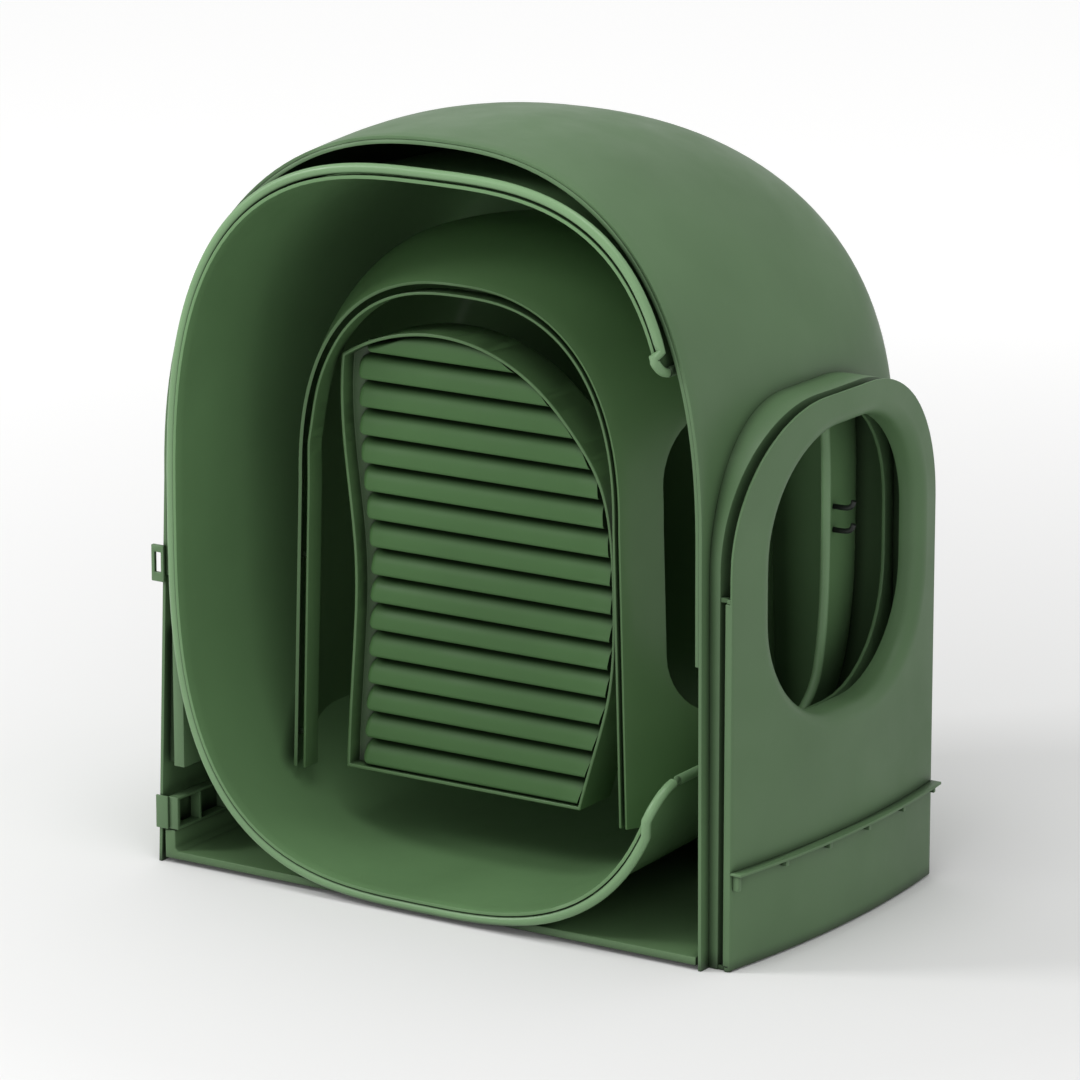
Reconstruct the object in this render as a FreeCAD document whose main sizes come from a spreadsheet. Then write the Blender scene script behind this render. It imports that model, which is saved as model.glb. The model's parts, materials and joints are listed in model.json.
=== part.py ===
import FreeCAD, Part
import math
import os

import Sketcher
from FreeCAD import Vector

# Calf hutch, shown nested: an outer hood on its floor tray, with a rear hood, an inner hood
# and a slatted floor panel stacked inside it. Millimetres, +Z up, +Y into the hutch,
# +X towards the feed panel. Every shape is drawn from the middle of the hutch's front sill,
# and each object's Placement then puts the origin at the middle of the whole footprint.

DIMENSIONS = [
    ("origin_shift_x", 44.5, "middle of the footprint, from the middle of the sill"),
    ("origin_shift_y", 346.0, "middle of the footprint, behind the sill"),
    ("hood_half_width", 565, "outer hood, outside, at its front edge"),
    ("hood_left_inset", 12, "how much narrower the outer hood is on its left side"),
    ("hood_splay", 4, "outer hood, how far the right foot splays"),
    ("hood_left_splay", 25, "outer hood, how far the left foot splays"),
    ("hood_back_half_width", 466, "outer hood, at its back wall"),
    ("hood_crown", 1367, "outer hood height at its front edge"),
    ("hood_crown_rise", 22, "how much the crown climbs by mid depth"),
    ("hood_back_crown", 1165, "outer hood height at its back wall"),
    ("hood_depth", 716, "outer hood front to back"),
    ("hood_wall", 6, "moulded wall"),
    ("hood_spring", 700, "height where the front edge starts to lean back"),
    ("hood_rake", 55, "how far the crown of the front edge is set back"),
    ("lip_depth", 14, "inner stiffening lip, front to back"),
    ("lip_drop", 7, "inner stiffening lip, below the wall"),
    ("lip_foot", 536, "height where the stiffening lip ends"),
    ("tray_half_width", 558, "floor tray, from the middle to its right edge"),
    ("tray_left", 564, "floor tray, from the middle to its left edge"),
    ("tray_depth", 640, "floor tray"),
    ("tray_bottom", 8, "underside of the floor tray"),
    ("tray_corner_length", 110, "floor tray, cut along each back corner"),
    ("tray_corner_width", 11, "floor tray, cut across each back corner"),
    ("tray_thickness", 15, "floor tray plate"),
    ("tray_upstand_height", 62, "left upstand of the floor tray"),
    ("tray_upstand_width", 22, "left upstand of the floor tray"),
    ("jamb_bottom", 184, "left jamb, foot"),
    ("jamb_top", 440, "left jamb, top"),
    ("jamb_outer", 541, "left jamb, outer edge of its front strip"),
    ("jamb_inner", 519, "left jamb, inner face"),
    ("jamb_depth", 128, "left jamb, front to back"),
    ("jamb_sheet", 4, "left jamb sheet"),
    ("jamb_recess", 20, "left jamb, depth of its recessed web"),
    ("frame_gap", 27, "side frame, how far its outer face lies inside the feed panel's"),
    ("frame_front", 25, "side frame, front edge"),
    ("panel_outer", 613, "feed panel, outer face at its front edge"),
    ("panel_front", 20, "feed panel, front edge"),
    ("panel_back", 683, "feed panel, rear edge"),
    ("panel_radius", 2212, "feed panel, radius of its bow"),
    ("panel_middle", 404, "feed panel, where its bow stands out furthest"),
    ("panel_height", 960, "feed panel, top of its arch"),
    ("panel_corner", 262, "feed panel, radius of its top corners"),
    ("panel_skin", 6, "feed panel skin"),
    ("stile_thickness", 14, "hinge stile at the panel's front edge"),
    ("stile_depth", 16, "hinge stile, front to back"),
    ("stile_top", 648, "hinge stile, top"),
    ("window_middle_y", 374, "feed window centre"),
    ("window_middle_z", 646, "feed window centre"),
    ("window_length", 488, "feed window, front to back"),
    ("window_height", 504, "feed window, bottom to top"),
    ("window_corner", 205, "feed window corner radius"),
    ("window_inset", 22, "window rim, how far it reaches behind the panel's front edge"),
    ("window_rim_wall", 5, "window rim wall"),
    ("ledge_top", 178, "ledge, upper face"),
    ("ledge_thickness", 5, "ledge plate"),
    ("ledge_reach", 21, "ledge, out from the panel"),
    ("gusset_height", 14, "gussets under the ledge"),
    ("gusset_width", 8, "gussets under the ledge"),
    ("gusset_reach", 12, "gussets under the ledge, out from the panel"),
    ("hinge_pin_radius", 4, "hinge pin"),
    ("hinge_clearance", 0.1, "radial play on the hinge pin"),
    ("rear_half_width", 520, "rear hood, outside"),
    ("rear_half_height", 640, "rear hood, outside"),
    ("rear_centre", 666, "rear hood, centre height"),
    ("rear_front", -24, "rear hood, front of its rim"),
    ("rear_depth", 690, "rear hood, back wall"),
    ("rear_wall", 6, "rear hood wall"),
    ("rear_rim_half_width", 538, "rear hood rim, outside"),
    ("rear_rim_half_height", 662, "rear hood rim, outside"),
    ("rear_rim_depth", 20, "rear hood rim, front to back"),
    ("rear_rim_rake", 45, "how far the crown of the rim is set back"),
    ("cutout_bottom", 315, "rear hood side opening, sill"),
    ("cutout_top", 1033, "rear hood side opening, head"),
    ("cutout_back", 505, "rear hood side opening, rear edge"),
    ("inner_centre", -30, "inner hood, middle"),
    ("inner_half_width", 338, "inner hood at its mouth"),
    ("inner_crown", 1100, "inner hood at its mouth"),
    ("inner_swell_width", 67, "how much wider the inner hood grows"),
    ("inner_swell_height", 78, "how much higher the inner hood grows"),
    ("inner_splay", 22, "how far each leg splays at its foot"),
    ("inner_front", 150, "inner hood, mouth"),
    ("inner_back", 630, "inner hood, back wall"),
    ("inner_foot", 168, "inner hood, feet"),
    ("inner_spring", 700, "inner hood, where its legs end"),
    ("inner_wall", 6, "inner hood wall"),
    ("liner_centre", -26, "mouth liner, middle"),
    ("liner_half_width", 323, "mouth liner, outside"),
    ("liner_crown", 1081, "mouth liner, outside"),
    ("liner_wall", 5, "mouth liner wall"),
    ("liner_depth", 39, "mouth liner, front to back"),
    ("slat_front", 175, "slatted floor panel, front of its rim"),
    ("slat_skirt", 100, "slatted floor panel, depth of its skirt"),
    ("slat_rim_wall", 6, "slatted floor panel, rim wall"),
    ("slat_pitch", 50.5, "slat spacing"),
    ("slat_first", 190, "underside of the lowest slat"),
    ("slat_count", 16, "number of slats"),
    ("slat_reach", 24, "how far a slat stands out of the web"),
    ("web_front", 206, "slatted floor panel, front of its web"),
    ("web_thickness", 6, "slatted floor panel web"),
]

WIDTH_POWER = 2.4
HEIGHT_POWER = 2.35
BACK_WIDTH_POWER = 2.2
BACK_HEIGHT_POWER = 3.14
REAR_POWER = 3.0
HOOD_SECTIONS = 18
REAR_SECTIONS = 14
INNER_SECTIONS = 16
LEFT_WIDTH_GAIN = 0.1

doc = FreeCAD.newDocument("calf_hutch")
sheet = doc.addObject("Spreadsheet::Sheet", "Dimensions")
for row, (alias, number, note) in enumerate(DIMENSIONS, start=1):
    sheet.set("A%d" % row, alias)
    sheet.set("B%d" % row, str(number))
    sheet.set("C%d" % row, note)
    sheet.setAlias("B%d" % row, alias)
doc.recompute()

size = {alias: float(sheet.get(alias)) for alias, number, note in DIMENSIONS}
SHIFT = Vector(-size["origin_shift_x"], -size["origin_shift_y"], 0)
nodes = []


def register(obj, label):
    """Give an object its node name and its place."""
    obj.Label = label
    obj.Placement = FreeCAD.Placement(SHIFT, FreeCAD.Rotation())
    nodes.append(obj)
    return obj


def solid_node(label, shape):
    feature = doc.addObject("Part::Feature", label)
    feature.Shape = shape
    return register(feature, label)


# ---------------------------------------------------------------- outlines


def power_curve(angle, half, rise, width_power, height_power):
    """A point of a superellipse centred on the origin."""
    c, s = math.cos(angle), math.sin(angle)
    across = math.copysign(abs(c) ** (2 / width_power), c) * half
    up = math.copysign(abs(s) ** (2 / height_power), s) * rise
    return across, up


def arch_wire(y, centre, halves, crown, spring, foot, powers, splays):
    """A closed arch: two straight legs, a rounded top and a flat bottom.

    halves, powers and splays give the right side first, then the left side.
    """
    count = 16
    points = []
    for step in range(count + 1):
        angle = math.pi * step / count
        left = step > count // 2
        across, up = power_curve(angle, halves[left], crown - spring, *powers[left])
        points.append(Vector(centre + across, y, spring + up))
    arch = Part.BSplineCurve()
    arch.interpolate(Points=points, InitialTangent=Vector(0, 0, 1), FinalTangent=Vector(0, 0, -1))
    right_foot = Vector(centre + halves[0] + splays[0], y, foot)
    left_foot = Vector(centre - halves[1] - splays[1], y, foot)
    edges = [
        Part.LineSegment(right_foot, points[0]).toShape(),
        arch.toShape(),
        Part.LineSegment(points[-1], left_foot).toShape(),
        Part.LineSegment(left_foot, right_foot).toShape(),
    ]
    return Part.Wire(edges)


def oval_wire(y, half, rise, centre_z, power):
    """A closed superellipse in the plane at depth y."""
    count = 32
    points = []
    for step in range(count):
        across, up = power_curve(2 * math.pi * (step + 0.5) / count, half, rise, power, power)
        points.append(Vector(across, y, centre_z + up))
    curve = Part.BSplineCurve()
    curve.interpolate(Points=points, PeriodicFlag=True)
    return Part.Wire([curve.toShape()])


def loft(wires):
    """A solid through arches or ovals, with straight rulings between neighbours."""
    return Part.makeLoft(wires, True, True)


def depth_shares(count, power):
    """Shares of a depth, closer together where the dome turns in towards its back."""
    return [math.sin(math.pi / 2 * step / count) ** power for step in range(count + 1)]


def side_prism(points_yz, x0, x1):
    """A prism along X from a closed list of (y, z) points and arcs through a middle point."""
    edges = []
    for start, middle, end in points_yz:
        a = Vector(x0, *start)
        b = Vector(x0, *end)
        if middle is None:
            edges.append(Part.LineSegment(a, b).toShape())
        else:
            edges.append(Part.Arc(a, Vector(x0, *middle), b).toShape())
    face = Part.Face(Part.Wire(edges))
    return face.extrude(Vector(x1 - x0, 0, 0))


def corner(centre, radius, angle):
    """The (y, z) point of a circle at an angle in degrees."""
    turn = math.radians(angle)
    return centre[0] + radius * math.cos(turn), centre[1] + radius * math.sin(turn)


def rounded_box_path(y0, y1, z0, z1, radius):
    """A rounded rectangle in the side plane, as lines and arcs."""
    path = []
    centres = [(y1 - radius, z1 - radius), (y0 + radius, z1 - radius),
               (y0 + radius, z0 + radius), (y1 - radius, z0 + radius)]
    for index, centre in enumerate(centres):
        start = 90 * index
        arc = [corner(centre, radius, start + turn) for turn in (0, 45, 90)]
        path.append((arc[0], arc[1], arc[2]))
        following = centres[(index + 1) % 4]
        path.append((arc[2], None, corner(following, radius, start + 90)))
    return path


def tombstone_path(y0, y1, top, radius):
    """A panel outline: square feet, two large round top corners."""
    right = (y1 - radius, top - radius)
    left = (y0 + radius, top - radius)
    return [
        ((y0, 0.0), None, (y1, 0.0)),
        ((y1, 0.0), None, corner(right, radius, 0)),
        (corner(right, radius, 0), corner(right, radius, 45), corner(right, radius, 90)),
        (corner(right, radius, 90), None, corner(left, radius, 90)),
        (corner(left, radius, 90), corner(left, radius, 135), corner(left, radius, 180)),
        (corner(left, radius, 180), None, (y0, 0.0)),
    ]


def rake_slab(front, rake, crown, thickness):
    """A slab in front of a raked edge: upright up to the spring, then curving back."""
    spring = size["hood_spring"]
    radius = ((crown - spring) ** 2 + rake ** 2) / (2 * rake)

    def edge(y, z):
        rise = z - spring
        return y + radius - math.sqrt(radius ** 2 - rise ** 2), z

    middle = (spring + crown) / 2
    top = crown + 40
    lowest = -60
    path = [
        ((front, lowest), None, (front, spring)),
        ((front, spring), edge(front, middle), edge(front, crown)),
        (edge(front, crown), None, (edge(front, crown)[0], top)),
        ((edge(front, crown)[0], top), None, (edge(front, crown)[0] - thickness, top)),
        ((edge(front, crown)[0] - thickness, top), None,
         (edge(front, crown)[0] - thickness, crown)),
        (edge(front - thickness, crown), edge(front - thickness, middle),
         (front - thickness, spring)),
        ((front - thickness, spring), None, (front - thickness, lowest)),
        ((front - thickness, lowest), None, (front, lowest)),
    ]
    return side_prism(path, -800, 800)


def bowed_sheet(inset, thickness, y0, y1, z1, z0=0.0):
    """A sheet standing on its edge, bowed outwards, inset from the feed panel's outer face."""
    radius = size["panel_radius"]
    middle = size["panel_middle"]
    set_back = math.sqrt(radius ** 2 - (middle - size["panel_front"]) ** 2)
    axis = Vector(size["panel_outer"] - set_back, middle, z0)
    drums = [Part.makeCylinder(reach, z1 - z0, axis) for reach in
             (radius - inset, radius - inset - thickness)]
    for drum in drums:
        drum.rotate(axis, Vector(0, 0, 1), 180)
    keep = Part.makeBox(600, y1 - y0, z1 - z0, Vector(200, y0, z0))
    return drums[0].common(keep).cut(drums[1])


# ---------------------------------------------------------------- outer hood


def hood_solid(offset, front):
    """The domed block whose skin is the outer hood, shrunk by offset."""
    depth = size["hood_depth"]
    wires = []
    for share in [None] + depth_shares(HOOD_SECTIONS, 0.65):
        t = share or 0.0
        y = front if share is None else t * (depth - offset)
        climb = math.sin(min(t / 0.5, 1) * math.pi / 2) * size["hood_crown_rise"]
        fall = max(0.0, 1 - t ** 3.08) ** (1 / 3.08)
        narrowing = max(0.0, 1 - t ** 6) ** (1 / 6)
        crown = size["hood_back_crown"]
        crown += (size["hood_crown"] + climb - crown) * fall
        half = size["hood_back_half_width"]
        half += (size["hood_half_width"] - half) * narrowing
        width_power = WIDTH_POWER + (BACK_WIDTH_POWER - WIDTH_POWER) * t
        height_power = HEIGHT_POWER + (BACK_HEIGHT_POWER - HEIGHT_POWER) * t
        halves = (half - offset, half - size["hood_left_inset"] - offset)
        powers = ((width_power, height_power), (width_power + LEFT_WIDTH_GAIN, height_power))
        spring = 0.524 * crown
        wires.append(arch_wire(y, 0.0, halves, crown - offset, spring, -10.0, powers,
                               (size["hood_splay"], size["hood_left_splay"])))
    if front == 0.0:
        wires = wires[1:]
    return loft(wires)


wall = size["hood_wall"]
hood_outside = hood_solid(0.0, 0.0)
hood_inside = hood_solid(wall, -20.0)
hood_front_cut = rake_slab(0.0, size["hood_rake"], size["hood_crown"], 200)
window_y0 = size["window_middle_y"] - size["window_length"] / 2
window_y1 = size["window_middle_y"] + size["window_length"] / 2
window_z0 = size["window_middle_z"] - size["window_height"] / 2
window_z1 = size["window_middle_z"] + size["window_height"] / 2
WINDOW_MARGIN = 14
side_hole = side_prism(
    rounded_box_path(window_y0 - WINDOW_MARGIN, window_y1 + WINDOW_MARGIN,
                     window_z0 - WINDOW_MARGIN, window_z1 + WINDOW_MARGIN,
                     size["window_corner"] + WINDOW_MARGIN), 300, 800)
ground = Part.makeBox(2000, 2000, 100, Vector(-1000, -1000, -100))
outer_hood = hood_outside.cut(hood_inside).cut(hood_front_cut).cut(side_hole).cut(ground)
solid_node("outer_hood", outer_hood)

# stiffening lip inside the front edge, from the left foot round the crown to the right side
lip_inside = hood_solid(wall + size["lip_drop"], -20.0)
lip_band = rake_slab(size["lip_depth"], size["hood_rake"], size["hood_crown"], size["lip_depth"])
lip_box = Part.makeBox(1400, 300, 1500, Vector(-700, -50, size["lip_foot"]))
lip = hood_inside.cut(lip_inside).common(lip_band).common(lip_box)
solid_node("hood_front_lip", lip)

# raised frame on the right side that the feed panel shuts against
FRAME_X0, FRAME_X1 = 380, 760
FULL = 1100
frame_block = side_prism(
    tombstone_path(size["frame_front"], size["panel_back"], size["panel_height"],
                   size["panel_corner"]), FRAME_X0, FRAME_X1)
frame_inner_block = side_prism(
    tombstone_path(size["frame_front"] + wall, size["panel_back"] - wall,
                   size["panel_height"] - wall, size["panel_corner"] - wall),
    FRAME_X0 - 10, FRAME_X1 + 10)
gap = size["frame_gap"]
frame_skin = bowed_sheet(gap, 240, 0, 700, FULL)
frame_hollow = bowed_sheet(gap + wall, 240, 0, 700, FULL)
side_frame = frame_block.common(frame_skin)
side_frame = side_frame.cut(frame_inner_block.common(frame_hollow)).cut(hood_outside)
side_frame = side_frame.cut(side_hole)
side_frame = max(side_frame.Solids, key=lambda s: s.Volume)
solid_node("side_frame", side_frame)

# ---------------------------------------------------------------- feed panel

panel_block = side_prism(
    tombstone_path(size["panel_front"], size["panel_back"], size["panel_height"],
                   size["panel_corner"]), 400, 800)
OVERHANG = 30
panel_skin = bowed_sheet(0, size["panel_skin"], size["panel_front"] - OVERHANG,
                         size["panel_back"] + OVERHANG, FULL, -OVERHANG)
window_hole = side_prism(
    rounded_box_path(window_y0, window_y1, window_z0, window_z1, size["window_corner"]), 400, 800)
panel = panel_skin.common(panel_block).cut(window_hole)
stile_x0 = size["panel_outer"] - size["stile_thickness"]
stile = Part.makeBox(size["stile_thickness"], size["stile_depth"], size["stile_top"],
                     Vector(stile_x0, size["panel_front"], 0))
CHAMFER = 6
stile = stile.makeChamfer(CHAMFER, [e for e in stile.Edges
                                    if e.BoundBox.ZMin > size["stile_top"] - 1
                                    and e.BoundBox.YMax < size["panel_front"] + 1])
pin_x = size["panel_outer"] - size["stile_thickness"] / 2
pin_y = size["panel_front"] + size["stile_depth"] / 2
pin_hole = Part.makeCylinder(size["hinge_pin_radius"] + size["hinge_clearance"], FULL,
                             Vector(pin_x, pin_y, 0))
LUG_HEIGHT = 8
LUG_GAP = 0.5
FOOT_GAP = 2
lug_levels = (0.0, size["stile_top"] + LUG_GAP)
NOTCH = Vector(pin_x - 40, size["panel_front"] - 2, 0)
foot_notch = Part.makeBox(60, 20, LUG_HEIGHT + LUG_GAP, NOTCH)
head_notch = Part.makeBox(60, 20, LUG_HEIGHT + 2 * LUG_GAP,
                          NOTCH + Vector(0, 0, size["stile_top"]))
foot_room = Part.makeBox(200, 900, FOOT_GAP, Vector(500, -10, 0))
panel = panel.fuse(stile)
for room in (foot_room, pin_hole, foot_notch, head_notch):
    panel = panel.cut(room)
solid_node("feed_panel", max(panel.Solids, key=lambda s: s.Volume))

# rolled rim of the feed window
rim_wall = size["window_rim_wall"]
rim_x0 = size["panel_outer"] - size["window_inset"]
rim_outside = side_prism(
    rounded_box_path(window_y0, window_y1, window_z0, window_z1, size["window_corner"]),
    rim_x0, 800)
rim_inside = side_prism(
    rounded_box_path(window_y0 + rim_wall, window_y1 - rim_wall, window_z0 + rim_wall,
                     window_z1 - rim_wall, size["window_corner"] - rim_wall), rim_x0 - 1, 801)
panel_mass = bowed_sheet(0, 240, 0, 700, FULL)
window_rim = rim_outside.common(panel_mass).cut(rim_inside)
solid_node("window_rim", window_rim)

# ledge across the foot of the panel, with its gussets
ledge = bowed_sheet(-size["ledge_reach"], size["ledge_reach"], size["panel_front"],
                    size["panel_back"], size["ledge_top"],
                    size["ledge_top"] - size["ledge_thickness"])
solid_node("panel_ledge", ledge.cut(panel_mass))
gusset_count = 6
GUSSET_PITCH = (size["panel_back"] - size["panel_front"] - 20) / (gusset_count - 1)
gussets = []
for index in range(gusset_count):
    y = size["panel_front"] + 6 + index * GUSSET_PITCH
    tall = size["gusset_height"] * (2.0 if index == 0 else 1.0)
    z0 = size["ledge_top"] - size["ledge_thickness"] - tall
    block = bowed_sheet(-size["gusset_reach"], size["gusset_reach"], y,
                        y + size["gusset_width"], z0 + tall, z0)
    gussets.append(block.cut(panel_mass).Solids[0])
solid_node("ledge_gussets", Part.makeCompound(gussets))

# hinge pin and the two lugs that hold it
pin = Part.makeCylinder(size["hinge_pin_radius"], size["stile_top"] + LUG_GAP + LUG_HEIGHT,
                        Vector(pin_x, pin_y, 0))
solid_node("hinge_pin", pin)
LUG_RADIUS = 7
lugs = []
for level in lug_levels:
    arm = Part.makeBox(pin_x - 560, 8, LUG_HEIGHT, Vector(560, pin_y - 1, level))
    eye = Part.makeCylinder(LUG_RADIUS, LUG_HEIGHT, Vector(pin_x, pin_y, level))
    lug = arm.fuse(eye).removeSplitter().cut(hood_outside).cut(side_frame)
    lug = lug.cut(Part.makeCylinder(size["hinge_pin_radius"], FULL, Vector(pin_x, pin_y, -1)))
    lugs.append(max(lug.Solids, key=lambda s: s.Volume))
solid_node("hinge_lugs", Part.makeCompound(lugs))

# ---------------------------------------------------------------- pieces padded from a profile


def origin_plane(body, role):
    for feature in body.Origin.OriginFeatures:
        if feature.Role == role:
            return feature
    raise ValueError(role)


def profile_sketch(body, name, role, loops):
    """A sketch of closed polygons whose corners are bound to the sheet."""
    sketch = body.newObject("Sketcher::SketchObject", name)
    sketch.AttachmentSupport = [(origin_plane(body, role), "")]
    sketch.MapMode = "FlatFace"
    for corners in loops:
        spots = [Vector(evaluate(u), evaluate(v), 0) for u, v in corners]
        first = sketch.GeometryCount
        for index, spot in enumerate(spots):
            sketch.addGeometry(Part.LineSegment(spot, spots[(index + 1) % len(spots)]), False)
        for index, (u, v) in enumerate(corners):
            here = first + index
            after = first + (index + 1) % len(corners)
            sketch.addConstraint(Sketcher.Constraint("Coincident", here, 2, after, 1))
            for kind, text in (("DistanceX", u), ("DistanceY", v)):
                number = sketch.addConstraint(
                    Sketcher.Constraint(kind, here, 1, evaluate(text)))
                sketch.setExpression("Constraints[%d]" % number, bind(text))
    return sketch


def bind(text):
    """Turn sheet aliases in a formula into references to the sheet."""
    for alias in sorted(size, key=len, reverse=True):
        text = text.replace(alias, "<<%s>>" % alias)
    return text.replace("<<", "Dimensions.").replace(">>", "")


def evaluate(text):
    """The value of a sum of aliases and numbers."""
    total = 0.0
    for term in text.replace("- ", "-").replace("+ ", "+").split():
        sign = -1.0 if term.startswith("-") else 1.0
        word = term.lstrip("+-")
        total += sign * (size[word] if word in size else float(word))
    return total


def padded(label, role, loops, length, offset, reverse=False):
    """A body padded from a profile; offset moves the sketch along the plane's normal."""
    body = doc.addObject("PartDesign::Body", label)
    sketch = profile_sketch(body, label + "_profile", role, loops)
    sketch.AttachmentOffset = FreeCAD.Placement(Vector(0, 0, evaluate(offset)),
                                                FreeCAD.Rotation())
    sketch.setExpression("AttachmentOffset.Base.z", bind(offset))
    pad = body.newObject("PartDesign::Pad", label + "_pad")
    pad.Profile = sketch
    pad.Length = evaluate(length)
    pad.setExpression("Length", bind(length))
    pad.Reversed = reverse
    doc.recompute()
    register(body, label)
    return body


# floor tray: a plate with an upstand along its left edge; the XZ sketch pads towards +Y
padded("base_tray", "XZ_Plane", [[
    ("-tray_left", "tray_bottom"),
    ("tray_half_width", "tray_bottom"),
    ("tray_half_width", "tray_bottom +tray_thickness"),
    ("-tray_left +tray_upstand_width +6", "tray_bottom +tray_thickness"),
    ("-tray_left +tray_upstand_width", "tray_bottom +tray_thickness +6"),
    ("-tray_left +tray_upstand_width", "tray_upstand_height"),
    ("-tray_left", "tray_upstand_height"),
]], "tray_depth", "0", reverse=True)
tray = doc.getObjectsByLabel("base_tray")[0]
corner_sketch = profile_sketch(tray, "base_tray_corners", "XY_Plane", [
    [(edge, "tray_depth -tray_corner_length"), (edge, "tray_depth +1"), (cut, "tray_depth +1")]
    for edge, cut in (("tray_half_width", "tray_half_width -tray_corner_width"),
                      ("-tray_left", "-tray_left +tray_corner_width"))])
corner_pocket = tray.newObject("PartDesign::Pocket", "base_tray_corner_cut")
corner_pocket.Profile = corner_sketch
corner_pocket.Type = "ThroughAll"
corner_pocket.Reversed = True
doc.recompute()

# left jamb: a folded sheet with a front strip, a recessed web and a deep inner face
jamb_path = [
    (-600, size["jamb_recess"]),
    (-size["jamb_outer"], size["jamb_recess"]),
    (-size["jamb_outer"], 0),
    (-size["jamb_inner"], 0),
    (-size["jamb_inner"], size["jamb_depth"]),
    (-size["jamb_inner"] - size["jamb_sheet"], size["jamb_depth"]),
    (-size["jamb_inner"] - size["jamb_sheet"], size["jamb_sheet"]),
    (-size["jamb_outer"] + size["jamb_sheet"], size["jamb_sheet"]),
    (-size["jamb_outer"] + size["jamb_sheet"], size["jamb_recess"] + size["jamb_sheet"]),
    (-600, size["jamb_recess"] + size["jamb_sheet"]),
]
jamb_wire = Part.makePolygon([Vector(x, y, size["jamb_bottom"]) for x, y in
                              jamb_path + jamb_path[:1]])
jamb = Part.Face(jamb_wire).extrude(Vector(0, 0, size["jamb_top"] - size["jamb_bottom"]))
solid_node("left_jamb", jamb.common(hood_inside).Solids[0])

# lower fence bracket: a two-cell frame along the left wall
padded("lower_fence_bracket", "YZ_Plane", [
    [("0", "64"), ("152", "64"), ("152", "124"), ("0", "124")],
    [("8", "69"), ("68", "69"), ("68", "119"), ("8", "119")],
    [("73", "69"), ("147", "69"), ("147", "119"), ("73", "119")],
], "22", "-557")

# front plate of the lower bracket, and the small fence loop above it
padded("bracket_front_plate", "XZ_Plane", [[
    ("-580", "64"), ("-554", "64"), ("-554", "125"), ("-580", "125"),
]], "5", "0")
padded("upper_fence_loop", "XZ_Plane", [
    [("-579", "524"), ("-552", "524"), ("-552", "591"), ("-579", "591")],
    [("-572.5", "541"), ("-558.5", "541"), ("-558.5", "578"), ("-572.5", "578")],
], "8", "0")

# ---------------------------------------------------------------- rear hood


def rear_solid(offset, front):
    """The domed block whose skin is the rear hood, shrunk by offset."""
    wires = []
    back = size["rear_depth"] - offset
    for t in depth_shares(REAR_SECTIONS, 0.5):
        y = front + t * (back - front)
        narrowing = max(0.0, 1 - t ** 5) ** (1 / 5)
        half = size["rear_half_width"] - 110 * (1 - narrowing) - 10 * t
        rise = size["rear_half_height"] - 150 * (1 - narrowing) - 20 * t
        wires.append(oval_wire(y, half - offset, rise - offset, size["rear_centre"], REAR_POWER))
    return loft(wires)


rear_front = size["rear_front"]
rear_crown = size["rear_centre"] + size["rear_rim_half_height"]
rear_inside = rear_solid(size["rear_wall"], rear_front - 20)
rear_shell = rear_solid(0.0, rear_front - 8)
rim_block = Part.Face(oval_wire(-100, size["rear_rim_half_width"], size["rear_rim_half_height"],
                                size["rear_centre"], REAR_POWER)).extrude(Vector(0, 240, 0))
rim_slab = rake_slab(rear_front + size["rear_rim_depth"], size["rear_rim_rake"], rear_crown,
                     size["rear_rim_depth"])
rear_front_cut = rake_slab(rear_front, size["rear_rim_rake"], rear_crown, 200)
rear_rim = rim_block.common(rim_slab)
cut_top = size["cutout_top"]
cut_bottom = size["cutout_bottom"]
cut_back = size["cutout_back"]
SILL_ROUND = 72
HEAD_ROUND = 34
BACK_ROUND = 90
head_front = -16
cutout_path = [
    ((-90, cut_bottom - SILL_ROUND), None, (rear_front, cut_bottom - SILL_ROUND)),
    ((rear_front, cut_bottom - SILL_ROUND),
     corner((rear_front + SILL_ROUND, cut_bottom - SILL_ROUND), SILL_ROUND, 135),
     (rear_front + SILL_ROUND, cut_bottom)),
    ((rear_front + SILL_ROUND, cut_bottom), None, (cut_back - BACK_ROUND, cut_bottom)),
    ((cut_back - BACK_ROUND, cut_bottom),
     corner((cut_back - BACK_ROUND, cut_bottom + BACK_ROUND), BACK_ROUND, -45),
     (cut_back, cut_bottom + BACK_ROUND)),
    ((cut_back, cut_bottom + BACK_ROUND), None, (cut_back, cut_top - BACK_ROUND)),
    ((cut_back, cut_top - BACK_ROUND),
     corner((cut_back - BACK_ROUND, cut_top - BACK_ROUND), BACK_ROUND, 45),
     (cut_back - BACK_ROUND, cut_top)),
    ((cut_back - BACK_ROUND, cut_top), None, (head_front + HEAD_ROUND, cut_top)),
    ((head_front + HEAD_ROUND, cut_top),
     corner((head_front + HEAD_ROUND, cut_top + HEAD_ROUND), HEAD_ROUND, 225),
     (head_front, cut_top + HEAD_ROUND)),
    ((head_front, cut_top + HEAD_ROUND), None, (-90, cut_top + HEAD_ROUND)),
    ((-90, cut_top + HEAD_ROUND), None, (-90, cut_bottom - SILL_ROUND)),
]
cutout = side_prism(cutout_path, 250, 800)
rear_hood = rear_shell.fuse(rear_rim).cut(rear_inside).cut(rear_front_cut).cut(cutout)
solid_node("rear_hood", max(rear_hood.Solids, key=lambda s: s.Volume))

# ---------------------------------------------------------------- inner hood and its liner


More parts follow.
